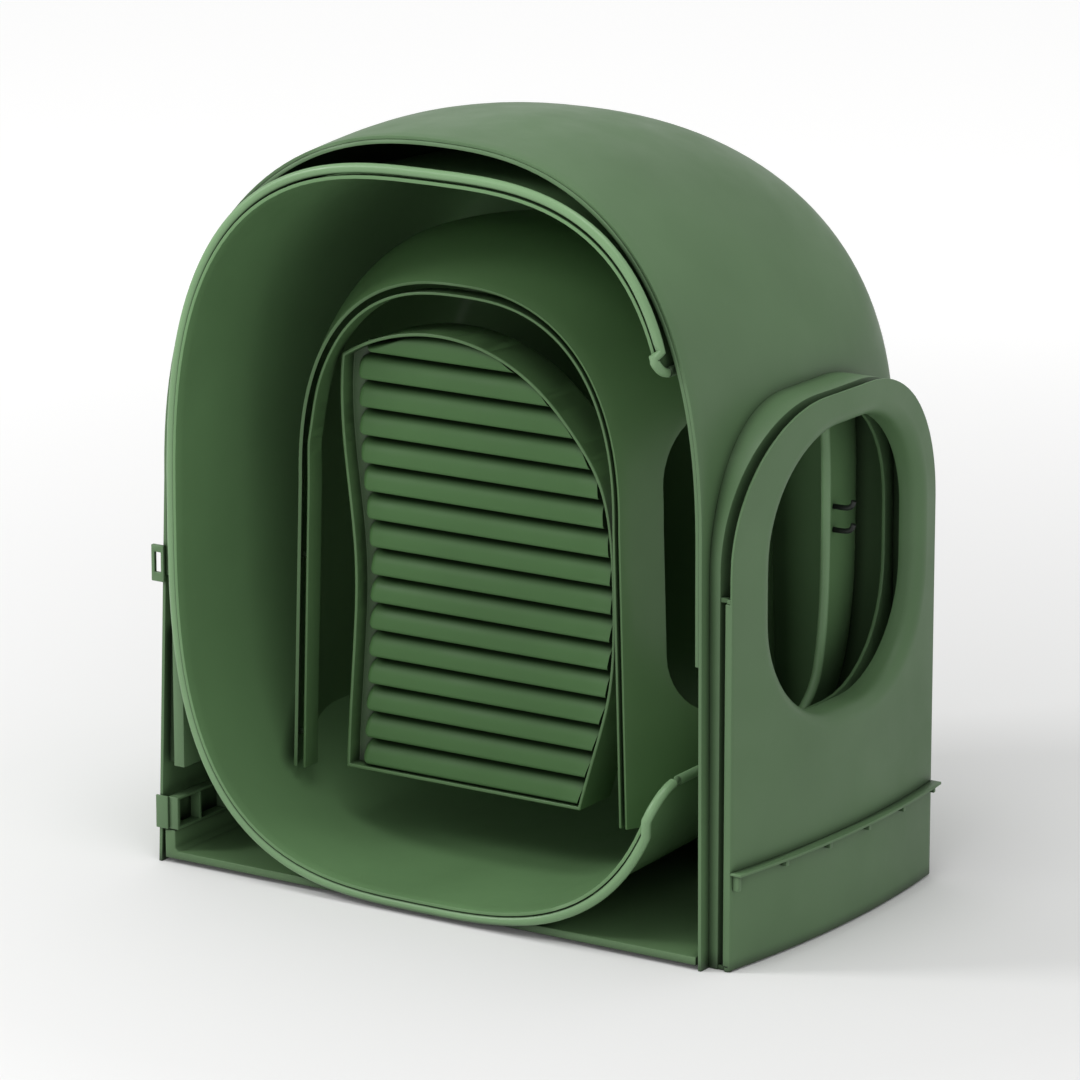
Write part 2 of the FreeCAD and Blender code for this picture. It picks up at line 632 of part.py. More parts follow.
def inner_solid(offset, front):
    """The domed block whose skin is the inner hood, shrunk by offset."""
    wires = []
    back = size["inner_back"] - offset
    mouth = size["inner_front"]
    for share in [None] + depth_shares(INNER_SECTIONS, 0.7):
        t = share or 0.0
        y = front if share is None else mouth + t * (back - mouth)
        swell = math.sin(min(1.0, t / 0.45) * math.pi / 2)
        tail = max(0.0, 1 - t ** 4) ** (1 / 4)
        half = size["inner_half_width"] + size["inner_swell_width"] * swell - 110 * (1 - tail)
        crown = size["inner_crown"] + size["inner_swell_height"] * swell - 140 * (1 - tail)
        foot = size["inner_foot"] if offset == 0 else size["inner_foot"] - 10
        wires.append(arch_wire(y, size["inner_centre"], [half - offset] * 2, crown - offset,
                               size["inner_spring"], foot, [(WIDTH_POWER, WIDTH_POWER)] * 2,
                               [size["inner_splay"]] * 2))
    if front == mouth:
        wires = wires[1:]
    return loft(wires)


REST_GAP = 4
rear_clear = rear_solid(size["rear_wall"] + REST_GAP, rear_front - 20)
inner_outside = inner_solid(0.0, size["inner_front"])
inner_inside = inner_solid(size["inner_wall"], size["inner_front"] - 20)
OVAL_Y0, OVAL_Y1 = 232, 470
OVAL_Z0, OVAL_Z1 = 352, 884
OVAL_ROUND = 118
oval = side_prism(rounded_box_path(OVAL_Y0, OVAL_Y1, OVAL_Z0, OVAL_Z1, OVAL_ROUND), 150, 600)
inner_hood = inner_outside.cut(inner_inside).common(rear_clear).cut(oval)
solid_node("inner_hood", max(inner_hood.Solids, key=lambda s: s.Volume))

liner_spring = size["inner_spring"]
LINER_SPLAY = 16
LINER_POWER = 2.6
LINER_FOOT = size["inner_foot"] + 4
liner_start = size["inner_front"]
liner_end = liner_start + size["liner_depth"]


def liner_block(offset, front, back):
    """The arched block inside the mouth liner, shrunk by offset."""
    wire = arch_wire(front, size["liner_centre"], [size["liner_half_width"] - offset] * 2,
                     size["liner_crown"] - offset, liner_spring, LINER_FOOT,
                     [(LINER_POWER, WIDTH_POWER)] * 2, [LINER_SPLAY] * 2)
    return Part.Face(wire).extrude(Vector(0, back - front, 0))


liner_mass = liner_block(0, liner_start, liner_end)
liner = liner_mass.cut(liner_block(size["liner_wall"], liner_start - 1, liner_end + 1))
solid_node("mouth_liner", liner)

# ---------------------------------------------------------------- slatted floor panel

TRAY_CORNERS = [(-286, 181), (211, 181), (252, 317), (272, 393), (283, 539), (279, 645),
                (249, 783), (198, 856), (127, 925), (24, 980), (-80, 998), (-200, 981),
                (-290, 940), (-289, 782), (-266, 567), (-273, 381)]


def inset_corner(index, inset):
    """A corner of the outline, moved inwards along the mitre of its two neighbours."""
    here = Vector(*TRAY_CORNERS[index], 0)
    before = (here - Vector(*TRAY_CORNERS[index - 1], 0)).normalize()
    after = (Vector(*TRAY_CORNERS[(index + 1) % len(TRAY_CORNERS)], 0) - here).normalize()
    inward = Vector(-before.y - after.y, before.x + after.x, 0)
    moved = here + inward * (inset / (1 + before.dot(after)))
    return Vector(moved.x, size["slat_front"], moved.y)


def tray_outline(inset):
    """The floor panel's outline in the front plane, moved inwards by inset."""
    spots = [inset_corner(index, inset) for index in range(len(TRAY_CORNERS))]
    right = Part.BSplineCurve()
    right.interpolate(Points=spots[1:13])
    left = Part.BSplineCurve()
    left.interpolate(Points=spots[12:] + [spots[0]])
    return Part.Wire([Part.LineSegment(spots[0], spots[1]).toShape(), right.toShape(),
                      left.toShape()])


def tray_prism(inset, front, depth):
    solid = Part.Face(tray_outline(inset)).extrude(Vector(0, depth, 0))
    solid.translate(Vector(0, front - size["slat_front"], 0))
    return solid


tray_front = size["slat_front"]
rim_ring = tray_prism(0, tray_front, size["slat_skirt"])
rim_ring = rim_ring.cut(tray_prism(size["slat_rim_wall"], tray_front - 1, size["slat_skirt"] + 2))
web = tray_prism(size["slat_rim_wall"] / 2, size["web_front"], size["web_thickness"])
slat_tray = rim_ring.fuse(web).removeSplitter()
solid_node("slatted_tray", max(slat_tray.Solids, key=lambda s: s.Volume))

slat_room = tray_prism(size["slat_rim_wall"], tray_front, 60)
left_room = tray_prism(26, tray_front, 60)
slats = []
for index in range(int(size["slat_count"])):
    z0 = size["slat_first"] + index * size["slat_pitch"]
    web_y = size["web_front"]
    lip_y = web_y - size["slat_reach"]
    height = size["slat_pitch"] - 3
    profile = [Vector(-400, web_y, z0), Vector(-400, lip_y, z0), Vector(-400, lip_y, z0 + 6),
               Vector(-400, web_y - 5, z0 + height), Vector(-400, web_y, z0 + height)]
    face = Part.Face(Part.makePolygon(profile + [profile[0]]))
    blade = face.extrude(Vector(800, 0, 0)).common(slat_room)
    half_left = Part.makeBox(300, 60, 60, Vector(-400, tray_front, z0 - 2))
    blade = blade.cut(half_left.cut(left_room))
    if blade.Solids:
        slats.append(max(blade.Solids, key=lambda s: s.Volume))
solid_node("slats", Part.makeCompound(slats))

# ---------------------------------------------------------------- hooks and fasteners


def tube_along(points, radius):
    """A round bar along straight runs with mitred elbows of its own radius."""
    bar = None
    for start, end in zip(points, points[1:]):
        a, b = Vector(*start), Vector(*end)
        run = Part.makeCylinder(radius, (b - a).Length, a, b - a)
        ball = Part.makeSphere(radius, b)
        run = run.fuse(ball)
        bar = run if bar is None else bar.fuse(run)
    return bar.removeSplitter()


HOOK_RADIUS = 3.5
HOOK_Y = 540
hooks = []
for level in (652, 694):
    root_x = 500
    hook = tube_along([(root_x, HOOK_Y, level), (532, HOOK_Y, level), (546, HOOK_Y, level + 12)],
                      HOOK_RADIUS)
    hook = hook.cut(rear_shell)
    hooks.append(max(hook.Solids, key=lambda s: s.CenterOfMass.x))
solid_node("bucket_hooks", Part.makeCompound(hooks))


def spacer(a, b, radius):
    start, end = Vector(*a), Vector(*b)
    return Part.makeCylinder(radius, (end - start).Length, start, end - start)


spacers = []
for level in (230, 560):
    for side, reach in ((-1, 400), (1, 380)):
        bolt = spacer((size["liner_centre"], liner_start + 28, level),
                      (size["liner_centre"] + side * reach, liner_start + 28, level), 5)
        bolt = bolt.cut(liner_mass)
        bolt = bolt.common(inner_inside)
        if bolt.Solids:
            spacers.append(max(bolt.Solids, key=lambda s: s.Volume))
solid_node("liner_spacers", Part.makeCompound(spacers))

doc.recompute()

# ---------------------------------------------------------------- checks and export

for obj in doc.Objects:
    for word in ("Invalid", "Error"):
        if word in obj.State:
            raise RuntimeError("%s is %s" % (obj.Label, word))
for obj in nodes:
    if obj.Shape.isNull() or not obj.Shape.isValid() or not obj.Shape.Solids:
        raise RuntimeError("%s has no valid solid" % obj.Label)

os.makedirs("parts", exist_ok=True)
whole = FreeCAD.BoundBox()
for obj in nodes:
    obj.Shape.exportStep("parts/%s.step" % obj.Label)
    whole.add(obj.Shape.BoundBox)
    box = obj.Shape.BoundBox
    print("%-22s %2d solid(s) %9.0f cm3  X %7.1f %7.1f  Y %7.1f %7.1f  Z %7.1f %7.1f" % (
        obj.Label, len(obj.Shape.Solids), obj.Shape.Volume / 1000, box.XMin, box.XMax,
        box.YMin, box.YMax, box.ZMin, box.ZMax))
print("whole", whole)
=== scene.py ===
import json
import math

import bmesh
import bpy
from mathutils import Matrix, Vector


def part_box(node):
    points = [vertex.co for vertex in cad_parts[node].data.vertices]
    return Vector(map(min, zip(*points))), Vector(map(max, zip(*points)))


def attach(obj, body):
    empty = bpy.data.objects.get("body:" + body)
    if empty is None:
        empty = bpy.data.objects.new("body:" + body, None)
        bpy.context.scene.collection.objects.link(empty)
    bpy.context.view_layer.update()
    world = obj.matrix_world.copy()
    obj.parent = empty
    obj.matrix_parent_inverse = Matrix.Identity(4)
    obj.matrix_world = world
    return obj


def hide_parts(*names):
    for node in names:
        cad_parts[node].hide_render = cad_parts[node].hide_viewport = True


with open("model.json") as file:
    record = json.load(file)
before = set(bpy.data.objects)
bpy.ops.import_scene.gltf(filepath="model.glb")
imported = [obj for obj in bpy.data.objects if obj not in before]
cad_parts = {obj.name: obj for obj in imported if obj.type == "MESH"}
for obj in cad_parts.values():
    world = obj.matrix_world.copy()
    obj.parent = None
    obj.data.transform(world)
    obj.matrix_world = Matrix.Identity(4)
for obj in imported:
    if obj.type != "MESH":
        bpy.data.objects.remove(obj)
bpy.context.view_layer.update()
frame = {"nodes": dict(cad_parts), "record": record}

# Shapes are given in millimetres from the middle of the hutch's front sill: X to the feed
# panel, Y to the back wall, Z up. The floor tray's corner says where that point is.
MM = 0.001
TRAY_LEFT = 564
tray_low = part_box("base_tray")[0]
ORIGIN = Vector((tray_low.x + TRAY_LEFT * MM, tray_low.y, 0.0))


def at(x, y, z):
    """The scene's point for a place on the hutch."""
    return ORIGIN + Vector((x, y, z)) * MM


# ------------------------------------------------------------------ materials
GREEN = (0.084, 0.154, 0.070)
DEEP_GREEN = (0.084, 0.155, 0.068)
# Lighter than GREEN: painted light on the nested hoods, which are the same plastic.
NESTED_LIT_GREEN = (0.112, 0.212, 0.092)
# Lighter still: a painted highlight on the rim bead, which is the same plastic as the rest.
RIM_HIGHLIT_GREEN = (0.150, 0.262, 0.128)
# Darker than GREEN: painted shade on the inner hood, its liner and its tray, which are the same
# plastic.
INNER_SHADED_GREEN = (0.070, 0.138, 0.054)
# Darkest: painted shade among the slats, which are the same plastic.
SLAT_SHADED_GREEN = (0.050, 0.112, 0.038)
STEEL_GREY = (0.42, 0.43, 0.42)
HOOK_BLACK = (0.02, 0.024, 0.021)
SHEEN = 0.3
SLAT_SHEEN = 0.14
CREVICE_REACH = 0.035


def socket(node, name, value):
    node.inputs[name].default_value = value


def grey(level):
    return (level, level, level, 1.0)


def ramp(tree, source, low, high, low_colour, high_colour):
    """A colour ramp between two positions, fed by source."""
    node = tree.nodes.new("ShaderNodeValToRGB")
    for element, position, colour in zip(node.color_ramp.elements, (low, high),
                                         (low_colour, high_colour)):
        element.position = position
        element.color = colour
    tree.links.new(source, node.inputs["Fac"])
    return node.outputs["Color"]


def noise(tree, place, scale, detail):
    node = tree.nodes.new("ShaderNodeTexNoise")
    socket(node, "Scale", scale)
    socket(node, "Detail", detail)
    tree.links.new(place.outputs["Object"], node.inputs["Vector"])
    return node.outputs["Fac"]


def colour_mix(tree, a, b, share=None, blend="MIX"):
    node = tree.nodes.new("ShaderNodeMix")
    node.data_type = "RGBA"
    node.blend_type = blend
    if share is None:
        socket(node, "Factor", 1.0)
    else:
        tree.links.new(share, node.inputs["Factor"])
    tree.links.new(a, node.inputs["A"])
    tree.links.new(b, node.inputs["B"])
    return node.outputs["Result"]


def plastic(name, colour, roughness, grain=0.12, sheen=SHEEN, metallic=0.0):
    """Moulded polyethylene: mottled, uneven gloss, orange-peel grain, edges paled partly as wear
    and partly as painted highlight, crevices darkened as painted shade.
    """
    material = bpy.data.materials.new(name)
    material.use_nodes = True
    tree = material.node_tree
    shader = tree.nodes["Principled BSDF"]
    socket(shader, "Specular IOR Level", sheen)
    socket(shader, "Metallic", metallic)
    place = tree.nodes.new("ShaderNodeTexCoord")

    darker = [c * 0.88 for c in colour] + [1.0]
    lighter = [c * 1.1 for c in colour] + [1.0]
    tint = ramp(tree, noise(tree, place, 2.6, 6.0), 0.3, 0.72, darker, lighter)
    # Pale edges: partly wear, partly a painted highlight where the edges catch the light.
    form = tree.nodes.new("ShaderNodeNewGeometry")
    edge_wear_and_highlight = ramp(tree, form.outputs["Pointiness"], 0.53, 0.62, grey(0.0), grey(0.5))
    pale = tree.nodes.new("ShaderNodeHueSaturation")
    socket(pale, "Saturation", 0.85)
    socket(pale, "Value", 1.5)
    tree.links.new(tint, pale.inputs["Color"])
    pale_edged = colour_mix(tree, tint, pale.outputs["Color"], edge_wear_and_highlight)
    # Painted shade: ambient occlusion darkens the colour in crevices, under lips and between parts,
    # where shade falls.
    crevice = tree.nodes.new("ShaderNodeAmbientOcclusion")
    crevice.samples = 12
    socket(crevice, "Distance", CREVICE_REACH)
    painted_crevice_shade = ramp(tree, crevice.outputs["AO"], 0.28, 0.86, grey(0.16), grey(1.0))
    tree.links.new(colour_mix(tree, pale_edged, painted_crevice_shade, blend="MULTIPLY"), shader.inputs["Base Color"])

    gloss = tree.nodes.new("ShaderNodeMapRange")
    socket(gloss, "From Min", 0.3)
    socket(gloss, "From Max", 0.7)
    socket(gloss, "To Min", roughness - 0.06)
    socket(gloss, "To Max", roughness + 0.08)
    tree.links.new(noise(tree, place, 9.0, 8.0), gloss.inputs["Value"])
    tree.links.new(gloss.outputs["Result"], shader.inputs["Roughness"])

    bump = tree.nodes.new("ShaderNodeBump")
    socket(bump, "Strength", grain)
    socket(bump, "Distance", 0.0006)
    tree.links.new(noise(tree, place, 420.0, 3.0), bump.inputs["Height"])
    tree.links.new(bump.outputs["Normal"], shader.inputs["Normal"])
    return material


hood_green = plastic("hood_green", GREEN, 0.42)
panel_green = plastic("panel_green", GREEN, 0.46)
tray_green = plastic("tray_green", DEEP_GREEN, 0.5)
bracket_green = plastic("bracket_green", GREEN, 0.44)
nested_lit_green = plastic("nested_lit_green", NESTED_LIT_GREEN, 0.42)
rim_highlit_green = plastic("rim_highlit_green", RIM_HIGHLIT_GREEN, 0.36)
inner_shaded_green = plastic("inner_shaded_green", INNER_SHADED_GREEN, 0.38)
slat_shaded_green = plastic("slat_shaded_green", SLAT_SHADED_GREEN, 0.5, sheen=SLAT_SHEEN)
steel = plastic("steel", STEEL_GREY, 0.32, grain=0.05, metallic=0.9)
hook_black = plastic("hook_black", HOOK_BLACK, 0.4, grain=0.08)

# ------------------------------------------------------------------ mesh tools
CUT_EDGE_ANGLE = 42.0
BODY_OF = {
    node: body for body, nodes in frame["record"]["behaviour"]["bodies"].items() for node in nodes
}


def new_object(name, verts, faces):
    mesh = bpy.data.meshes.new(name)
    mesh.from_pydata([tuple(v) for v in verts], [], faces)
    mesh.validate()
    obj = bpy.data.objects.new(name, mesh)
    bpy.context.scene.collection.objects.link(obj)
    return obj


def finish_piece(obj, body, material, nodes=(), smooth_angle=38.0):
    """Shades a piece, gives it its material and hangs it on its body."""
    obj.data.shade_smooth()
    obj.data.set_sharp_from_angle(angle=math.radians(smooth_angle))
    obj.data.materials.clear()
    obj.data.materials.append(material)
    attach(obj, body)
    if nodes:
        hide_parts(*nodes)
    return obj


def bake(obj):
    """Turns an object's modifiers into its mesh."""
    view = bpy.context.evaluated_depsgraph_get()
    mesh = bpy.data.meshes.new_from_object(obj.evaluated_get(view))
    obj.modifiers.clear()
    obj.data = mesh


def soften(obj, width, segments=2, angle=CUT_EDGE_ANGLE):
    """Rounds the edges that turn by more than angle."""
    edge = obj.modifiers.new("edge", "BEVEL")
    edge.width = width * MM
    edge.segments = segments
    edge.limit_method = "ANGLE"
    edge.angle_limit = math.radians(angle)
    edge.use_clamp_overlap = True
    edge.harden_normals = False
    bake(obj)


def thicken(obj, wall):
    """Gives a surface its wall, on the inner side."""
    skin = obj.modifiers.new("wall", "SOLIDIFY")
    skin.thickness = wall * MM
    skin.offset = -1.0
    skin.use_even_offset = True
    bake(obj)


def cut(obj, block):
    """Cuts the block out of the object and removes the block."""
    tool = obj.modifiers.new("cut", "BOOLEAN")
    tool.operation = "DIFFERENCE"
    tool.solver = "EXACT"
    tool.object = block
    bake(obj)
    bpy.data.objects.remove(block)


def face_outwards(obj, weld=0.0):
    """Turns a closed mesh's faces outwards, after joining points nearer than weld."""
    form = bmesh.new()
    form.from_mesh(obj.data)
    if weld:
        bmesh.ops.remove_doubles(form, verts=form.verts, dist=weld * MM)
    bmesh.ops.recalc_face_normals(form, faces=form.faces)
    form.to_mesh(obj.data)
    form.free()
    return obj


def face_towards(obj, point, direction):
    """Flips an open surface if its face nearest to point doesn't look along direction."""
    near = min(obj.data.polygons, key=lambda p: (p.center - point).length)
    if near.normal.dot(direction) < 0:
        obj.data.flip_normals()


def grid(rows, closed=False):
    """Points and quads of a surface given as rows of points."""
    verts = [p for row in rows for p in row]
    n = len(rows[0])
    faces = []
    for r in range(len(rows) - 1):
        for c in range(n if closed else n - 1):
            d = (c + 1) % n
            faces.append((r * n + c, r * n + d, (r + 1) * n + d, (r + 1) * n + c))
    return verts, faces


def ends(count, n):
    """The two end faces of a closed grid of count rows with n points each."""
    return [tuple(range(n))[::-1], tuple(range((count - 1) * n, count * n))]


def shell(name, rows, closed, wall, crown):
    """A hood: its surface, a flat back wall across the last row, and the wall's thickness."""
    verts, faces = grid(rows, closed)
    n = len(rows[0])
    start = (len(rows) - 1) * n
    faces.append(tuple(range(start, start + n)))
    obj = new_object(name, verts, faces)
    face_towards(obj, crown, Vector((0, 0, 1)))
    thicken(obj, wall)
    return obj


def prism_x(outline, x0, x1):
    """A block along X from an outline of (y, z) points."""
    rows = [[at(x, y, z) for y, z in outline] for x in (x0, x1)]
    verts, faces = grid(rows, True)
    return face_outwards(new_object("cutter", verts, faces + ends(2, len(outline))))


def tube(name, path, across, along, closed=False, sides=12):
    """A bead along a path. across and along are its half sizes; along lies nearest to Y."""
    rows = []
    n = len(path)
    turns = [2 * math.pi * k / sides for k in range(sides)]
    for i, p in enumerate(path):
        before = path[i - 1] if i or closed else path[0]
        after = path[(i + 1) % n] if i < n - 1 or closed else path[-1]
        tangent = (after - before).normalized()
        side = Vector((0, 1, 0)) - tangent * tangent.y
        if side.length < 0.15:
            side = Vector((1, 0, 0)) - tangent * tangent.x
        side.normalize()
        other = tangent.cross(side)
        rows.append([p + side * (math.cos(a) * along * MM) + other * (math.sin(a) * across * MM)
                     for a in turns])
    if closed:
        rows.append(rows[0])
    verts, faces = grid(rows, True)
    if not closed:
        faces += ends(n, sides)
    return face_outwards(new_object(name, verts, faces), weld=0.01)


def cad_copy(node, material, bevel, smooth_angle=34.0):
    """A rounded, smoothly shaded copy of a CAD node."""
    mesh = frame["nodes"][node].data.copy()
    form = bmesh.new()
    form.from_mesh(mesh)
    bmesh.ops.remove_doubles(form, verts=form.verts, dist=0.02 * MM)
    bmesh.ops.dissolve_limit(form, angle_limit=math.radians(0.6), verts=form.verts,
                             edges=form.edges)
    form.to_mesh(mesh)
    form.free()
    obj = bpy.data.objects.new(node + "_look", mesh)
    bpy.context.scene.collection.objects.link(obj)
    soften(obj, bevel)
    return finish_piece(obj, BODY_OF[node], material, [node], smooth_angle)


# ------------------------------------------------------------------ curves
def arc(cy, cz, radius, start, end, steps=8):
    """(y, z) points of an arc, with its angles in degrees."""
    turns = [math.radians(start + (end - start) * k / steps) for k in range(steps + 1)]
    return [(cy + radius * math.cos(a), cz + radius * math.sin(a)) for a in turns]


def rounded_box(y0, y1, z0, z1, radius, steps=10):
    """(y, z) points of a rounded rectangle."""
    corners = ((y1 - radius, z1 - radius, 0), (y0 + radius, z1 - radius, 90),
               (y0 + radius, z0 + radius, 180), (y1 - radius, z0 + radius, 270))
    return [point for cy, cz, start in corners
            for point in arc(cy, cz, radius, start, start + 90, steps)]


def fade(value, power):
    """Falls from 1 at value 0 to 0 at value 1, ever more steeply."""
    return max(0.0, 1 - value ** power) ** (1 / power)


def rounded(value, power):
    """A cosine or sine pushed out to the corners of a superellipse."""
    return math.copysign(abs(value) ** (2 / power), value)


def swell(t, peak):
    """Climbs from 0 to 1 as t reaches peak, then stays."""
    return math.sin(min(1, t / peak) * math.pi / 2)


def to_back(row, rows):
    """Share of the depth at a row; rows crowd together at the back, where a hood curves in."""
    return math.sin(row / rows * math.pi / 2)


LEAN_START = 700
HOOD_LEAN = 4071.9
REAR_LEAN = 4404.6


def set_back(z, radius):
    """How far a front edge that leans back above LEAN_START lies behind its foot."""
    return radius - math.sqrt(radius ** 2 - max(0.0, z - LEAN_START) ** 2)


# ------------------------------------------------------------------ outer hood
HOOD_DEPTH, HOOD_WALL, HOOD_LEFT_INSET = 716, 6, 12
HOOD_BACK_HALF, HOOD_EXTRA_HALF = 466, 99
HOOD_CROWN, HOOD_CLIMB, HOOD_BACK_CROWN = 1367, 22, 1165
HOOD_SPRING = 0.524
HOOD_SPLAY_RIGHT, HOOD_SPLAY_LEFT = 4, 25
HOOD_ROWS, HOOD_COLUMNS, HOOD_LEGS = 44, 72, 9
WINDOW_Y, WINDOW_Z = 374, 646
WINDOW_HALF_Y, WINDOW_HALF_Z, WINDOW_CORNER = 244, 252, 205
HOLE_MARGIN, HOLE_X = 14, (300, 800)


def window_outline(margin=0, steps=10):
    return rounded_box(WINDOW_Y - WINDOW_HALF_Y - margin, WINDOW_Y + WINDOW_HALF_Y + margin,
                       WINDOW_Z - WINDOW_HALF_Z - margin, WINDOW_Z + WINDOW_HALF_Z + margin,
                       WINDOW_CORNER + margin, steps)


def hood_point(y, angle, leg):
    """(x, z) of the outer hood; leg is a share of a straight leg's height, or None on the arch."""
    t = min(max(y / HOOD_DEPTH, 0.0), 1.0)
    climb = swell(t, 0.5) * HOOD_CLIMB
    crown = HOOD_BACK_CROWN + (HOOD_CROWN + climb - HOOD_BACK_CROWN) * fade(t, 3.08)
    right = angle <= math.pi / 2
    half = HOOD_BACK_HALF + HOOD_EXTRA_HALF * fade(t, 6) - (0 if right else HOOD_LEFT_INSET)
    spring = HOOD_SPRING * crown
    side = 1 if right else -1
    if leg is not None:
        splay = (HOOD_SPLAY_RIGHT if right else HOOD_SPLAY_LEFT) * (1 - leg)
        return side * (half + splay), spring * leg
    width_power = 2.4 - 0.2 * t + (0 if right else 0.1)
    height_power = 2.35 + 0.79 * t
    x = side * half * abs(math.cos(angle)) ** (2 / width_power)
    return x, spring + (crown - spring) * math.sin(angle) ** (2 / height_power)


def make_outer_hood():
    legs = [k / HOOD_LEGS for k in range(HOOD_LEGS)]
    stations = [(0.0, leg) for leg in legs]
    stations += [(math.pi * k / HOOD_COLUMNS, None) for k in range(HOOD_COLUMNS + 1)]
    stations += [(math.pi, leg) for leg in reversed(legs)]
    rows = []
    for r in range(HOOD_ROWS + 1):
        share = to_back(r, HOOD_ROWS)
        line = []
        for angle, leg in stations:
            y = share * HOOD_DEPTH
            for _ in range(2):
                x, z = hood_point(y, angle, leg)
                y = share * HOOD_DEPTH + (1 - share) * set_back(z, HOOD_LEAN)
            line.append(at(x, y, z))
        rows.append(line)
    hood = shell("outer_hood_shell", rows, False, HOOD_WALL, at(0, 300, 1380))
    cut(hood, prism_x(window_outline(HOLE_MARGIN), *HOLE_X))
    soften(hood, 1.6, angle=50)
    finish_piece(hood, "root", hood_green, ["outer_hood"])


make_outer_hood()

# ------------------------------------------------------------------ pieces as the CAD has them
for node, slot, material, bevel in (
        ("hood_front_lip", "hood_plastic", hood_green, 1.0),
        ("side_frame", "hood_plastic", hood_green, 2.5),
        ("base_tray", "tray_plastic", tray_green, 2.0),
        ("left_jamb", "hood_plastic", hood_green, 0.8),
        ("lower_fence_bracket", "bracket_plastic", bracket_green, 1.2),
        ("bracket_front_plate", "bracket_plastic", bracket_green, 1.2),
        ("upper_fence_loop", "bracket_plastic", bracket_green, 1.5),
        ("hinge_lugs", "bracket_plastic", bracket_green, 0.8),
        ("hinge_pin", "steel", steel, 0.5),
        ("panel_ledge", "panel_plastic", panel_green, 1.2),
        ("ledge_gussets", "panel_plastic", panel_green, 1.2),
        ("mouth_liner", "nested_plastic", inner_shaded_green, 1.2),
        ("liner_spacers", "nested_plastic", nested_lit_green, 0.8),
        ("slatted_tray", "slat_plastic", inner_shaded_green, 1.5)):
    cad_copy(node, material, bevel)

# ------------------------------------------------------------------ rear hood
REAR_MIDDLE, REAR_WALL, REAR_POWER = 666, 6, 3
REAR_HALF_X, REAR_CURVE_X, REAR_TAPER_X = 520, 110, 10
REAR_HALF_Z, REAR_CURVE_Z, REAR_TAPER_Z = 640, 150, 20
REAR_START, REAR_LENGTH = -32, 722
REAR_FRONT, REAR_DEPTH, RIM_TIP = -20, 710, -24
REAR_ROWS, REAR_COLUMNS = 46, 120
SILL, HEAD, CUT_BACK, CUT_CORNER = 315, 1033, 505, 90
CUT_LOW_ARC, CUT_HIGH_ARC = (48, 243, 72), (18, 1067, 34)     # middle Y, middle Z, radius
RIM_FRONT, BEFORE_RIM = -16, -80
REAR_CUT_X = (250, 700)
RIM_HALF_X, RIM_HALF_Z, RIM_Y, RIM_STEPS = 527, 650, -14, 160
RIM_ACROSS, RIM_ALONG, RIM_OUT = 9, 8, 2


def rear_size(y):
    """Half width and half height of the rear hood at depth y."""
    t = min(max((y - REAR_START) / REAR_LENGTH, 0.0), 1.0)
    n = fade(t, 5)
    half = REAR_HALF_X - REAR_CURVE_X * (1 - n) - REAR_TAPER_X * t
    return half, REAR_HALF_Z - REAR_CURVE_Z * (1 - n) - REAR_TAPER_Z * t


def rear_side_x(y, z):
    """X of the rim's middle line on the rear hood's right side."""
    half, rise = rear_size(y)
    return RIM_OUT + half * fade(abs(z - REAR_MIDDLE) / rise, REAR_POWER)


def side_opening():
    """(y, z) points round the side opening, from its head at the front to its sill."""
    points = arc(*CUT_HIGH_ARC, 190, 270)
    points += arc(CUT_BACK - CUT_CORNER, HEAD - CUT_CORNER, CUT_CORNER, 90, 0)
    points += arc(CUT_BACK - CUT_CORNER, SILL + CUT_CORNER, CUT_CORNER, 0, -90)
    return points + arc(*CUT_LOW_ARC, 90, 180)


def dense(points, step=22.0):
    """Points along a polyline, no further apart than step."""
    out = [points[0]]
    for (y0, z0), (y1, z1) in zip(points, points[1:]):
        n = max(1, math.ceil(math.hypot(y1 - y0, z1 - z0) / step))
        out += [(y0 + (y1 - y0) * k / n, z0 + (z1 - z0) * k / n) for k in range(1, n + 1)]
    return out


def make_rear_hood():
    low, high = CUT_LOW_ARC[1], CUT_HIGH_ARC[1]
    rows = []
    for r in range(REAR_ROWS + 1):
        share = to_back(r, REAR_ROWS)
        line = []
        for c in range(REAR_COLUMNS):
            angle = 2 * math.pi * c / REAR_COLUMNS
            y = RIM_TIP + share * (REAR_FRONT + REAR_DEPTH - RIM_TIP)
            for _ in range(2):
                half, rise = rear_size(y)
                z = REAR_MIDDLE + rise * rounded(math.sin(angle), REAR_POWER)
                y = REAR_FRONT + share * REAR_DEPTH + (1 - share) * set_back(z, REAR_LEAN)
            line.append(at(half * rounded(math.cos(angle), REAR_POWER), y, z))
        rows.append(line)
    hood = shell("rear_hood_shell", rows, True, REAR_WALL, at(0, 300, 1306))
    hole = [(RIM_FRONT, high)] + side_opening() + [(BEFORE_RIM, low), (BEFORE_RIM, high)]
    cut(hood, prism_x(hole, *REAR_CUT_X))
    soften(hood, 1.5, angle=50)
    finish_piece(hood, "rear_shell", nested_lit_green, ["rear_hood"])


def make_rear_rim():
    """One closed bead: round the mouth and along the side opening's edge."""
    low, high = CUT_LOW_ARC[1], CUT_HIGH_ARC[1]
    path = []
    for k in range(RIM_STEPS + 1):
        angle = 2 * math.pi * k / RIM_STEPS
        x = RIM_HALF_X * rounded(math.cos(angle), REAR_POWER)
        z = REAR_MIDDLE + RIM_HALF_Z * rounded(math.sin(angle), REAR_POWER)
        if x <= 0 or not low < z < high:
            path.append(at(x, RIM_Y + set_back(z, REAR_LEAN), z))
    edge = [at(rear_side_x(y, z), y, z) for y, z in dense(side_opening()[:-1])]
    rim = tube("rear_hood_rim", path + edge[::-1], RIM_ACROSS, RIM_ALONG, True, 14)
    finish_piece(rim, "rear_shell", rim_highlit_green)


HOOK_Y, HOOK_WIRE = 540, 5
HOOK_LINE = ((505, 0), (518, 0), (530, 0.5), (538, 3), (543, 8), (545, 15))


